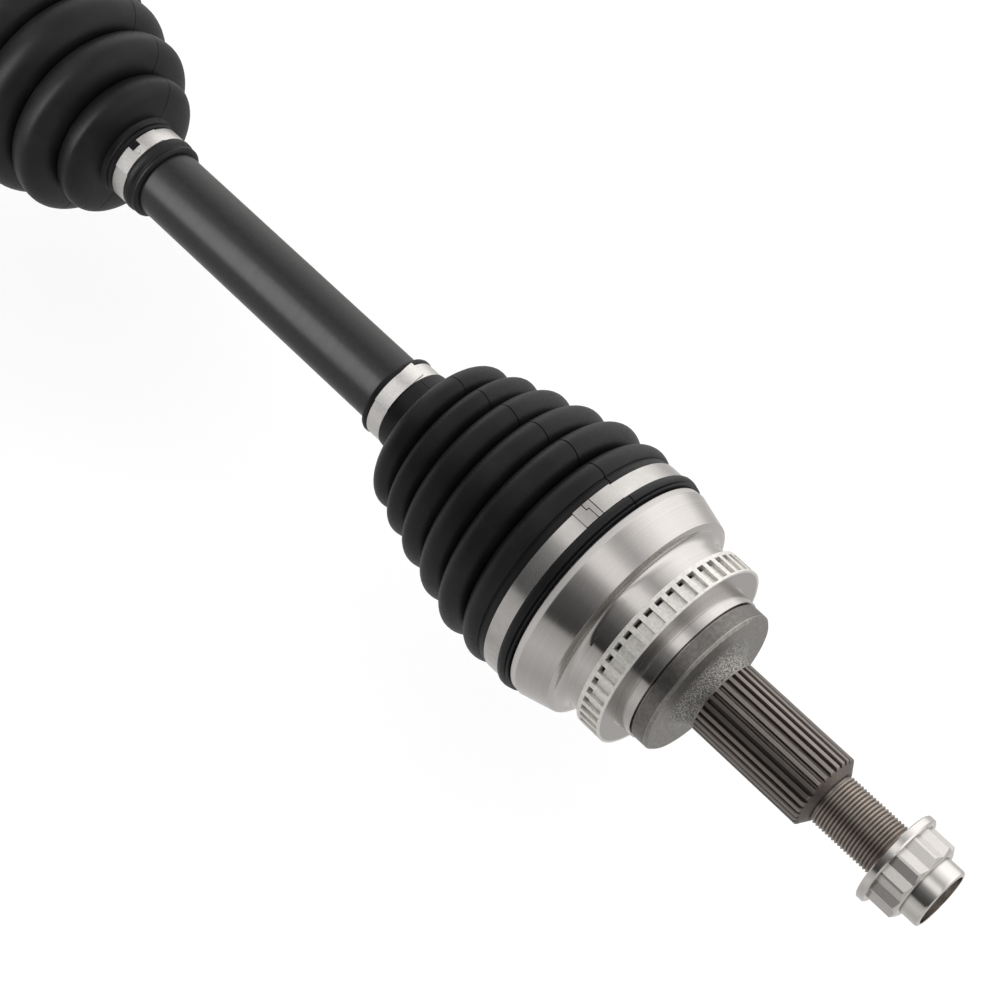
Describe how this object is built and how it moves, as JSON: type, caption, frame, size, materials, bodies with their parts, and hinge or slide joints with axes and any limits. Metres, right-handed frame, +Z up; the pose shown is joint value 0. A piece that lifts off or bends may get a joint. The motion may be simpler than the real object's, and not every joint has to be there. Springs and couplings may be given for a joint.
{
  "type": "cv axle",
  "caption": "Constant-velocity drive axle: fixed ball joint with splined stub and flange nut, bar, plunging tripod joint, ribbed boots on band clamps.",
  "frame": {"origin": "on the axle's axis, in the plane of the hub-bearing shoulder where the hub spline begins", "axes": "+X along the axle, out through the hub spline to the nut; +Z up; joints bend about Y"},
  "size_m": [0.7045, 0.1084, 0.1084],
  "materials": {
    "forged_steel": "turned and lightly oiled",
    "ring_steel": "dull plating",
    "hardened_steel": "ground",
    "bearing_steel": "polished",
    "spring_steel": "phosphated",
    "plated_nut": "satin nickel",
    "black_paint": "satin black",
    "boot_rubber": "satin moulded",
    "clamp_band": "rolled stainless"
  },
  "bodies": {
    "shaft": {"bar_shaft": "black_paint", "inner_race": "hardened_steel", "race_circlip": "spring_steel", "tripod_spider": "hardened_steel", "spider_circlip": "spring_steel", "roller_washers": "spring_steel", "trunnion_snap_rings": "spring_steel", "outer_boot": "boot_rubber", "outer_boot_small_clamp": "clamp_band", "inner_boot": "boot_rubber", "inner_boot_small_clamp": "clamp_band"},
    "wheel_bell": {"outer_race_stub": "forged_steel", "abs_tone_ring": "ring_steel", "outer_boot_large_clamp": "clamp_band", "ball_2": "bearing_steel", "ball_5": "bearing_steel"},
    "cage": {"ball_cage": "hardened_steel"},
    "ball_1": {"ball_1": "bearing_steel"},
    "ball_3": {"ball_3": "bearing_steel"},
    "ball_4": {"ball_4": "bearing_steel"},
    "ball_6": {"ball_6": "bearing_steel"},
    "hub_nut": {"axle_nut": "plated_nut"},
    "needles_1": {"needle_set_1": "bearing_steel"},
    "housing": {"tripod_housing": "forged_steel", "inner_boot_large_clamp": "clamp_band", "housing_snap_ring": "spring_steel"},
    "roller_1": {"roller_1": "bearing_steel"},
    "roller_2": {"roller_2": "bearing_steel"},
    "roller_3": {"roller_3": "bearing_steel"},
    "needles_2": {"needle_set_2": "bearing_steel"},
    "needles_3": {"needle_set_3": "bearing_steel"}
  },
  "joints": [
    {"name": "outer_bend", "type": "hinge", "parent": "shaft", "child": "wheel_bell", "pos_m": [-0.0535, 0, 0], "axis": [0, 1, 0], "range_deg": [-45, 45], "deforming": ["outer_boot"]},
    {"name": "cage_tilt", "type": "hinge", "parent": "shaft", "child": "cage", "pos_m": [-0.0535, 0, 0], "axis": [0, 1, 0], "range_deg": [-23, 23]},
    {"name": "ball_1_run", "type": "hinge", "parent": "wheel_bell", "child": "ball_1", "pos_m": [-0.0568, 0, 0], "axis": [0, 0.866, 0.5], "range_deg": [-20, 20]},
    {"name": "ball_3_run", "type": "hinge", "parent": "wheel_bell", "child": "ball_3", "pos_m": [-0.0568, 0, 0], "axis": [0, -0.866, 0.5], "range_deg": [-20, 20]},
    {"name": "ball_4_run", "type": "hinge", "parent": "wheel_bell", "child": "ball_4", "pos_m": [-0.0568, 0, 0], "axis": [0, -0.866, -0.5], "range_deg": [-20, 20]},
    {"name": "ball_6_run", "type": "hinge", "parent": "wheel_bell", "child": "ball_6", "pos_m": [-0.0568, 0, 0], "axis": [0, 0.866, -0.5], "range_deg": [-20, 20]},
    {"name": "nut_turn", "type": "hinge", "parent": "wheel_bell", "child": "hub_nut", "pos_m": [0.1, 0, 0], "axis": [1, 0, 0], "continuous": true},
    {"name": "inner_bend", "type": "hinge", "parent": "shaft", "child": "needles_1", "pos_m": [-0.4605, 0, 0], "axis": [0, 1, 0], "range_deg": [-18, 18], "deforming": ["inner_boot"]},
    {"name": "inner_plunge", "type": "slide", "parent": "needles_1", "child": "housing", "axis": [1, 0, 0], "range_m": [-0.018, 0.018], "deforming": ["inner_boot"]},
    {"name": "roller_1_spin", "type": "hinge", "parent": "needles_1", "child": "roller_1", "pos_m": [-0.4605, 0, 0], "axis": [0, 1, 0], "range_deg": [-56, 56]},
    {"name": "roller_2_spin", "type": "hinge", "parent": "shaft", "child": "roller_2", "pos_m": [-0.4605, 0, 0], "axis": [0, -0.5, 0.866], "range_deg": [-56, 56]},
    {"name": "needles_2_spin", "type": "hinge", "parent": "shaft", "child": "needles_2", "pos_m": [-0.4605, 0, 0], "axis": [0, -0.5, 0.866], "range_deg": [-32, 32]},
    {"name": "roller_3_spin", "type": "hinge", "parent": "shaft", "child": "roller_3", "pos_m": [-0.4605, 0, 0], "axis": [0, -0.5, -0.866], "range_deg": [-56, 56]},
    {"name": "needles_3_spin", "type": "hinge", "parent": "shaft", "child": "needles_3", "pos_m": [-0.4605, 0, 0], "axis": [0, -0.5, -0.866], "range_deg": [-32, 32]}
  ],
  "couplings": [
    {"joint": "cage_tilt", "follows": "outer_bend", "ratio": 0.5},
    {"joint": "ball_1_run", "follows": "outer_bend", "ratio": -0.43301},
    {"joint": "ball_3_run", "follows": "outer_bend", "ratio": 0.43301},
    {"joint": "ball_4_run", "follows": "outer_bend", "ratio": 0.43301},
    {"joint": "ball_6_run", "follows": "outer_bend", "ratio": -0.43301},
    {"joint": "roller_1_spin", "follows": "inner_plunge", "rad_per_m": 54.054},
    {"joint": "roller_2_spin", "follows": "inner_plunge", "rad_per_m": 54.054},
    {"joint": "needles_2_spin", "follows": "inner_plunge", "rad_per_m": 30.158},
    {"joint": "roller_3_spin", "follows": "inner_plunge", "rad_per_m": 54.054},
    {"joint": "needles_3_spin", "follows": "inner_plunge", "rad_per_m": 30.158}
  ]
}
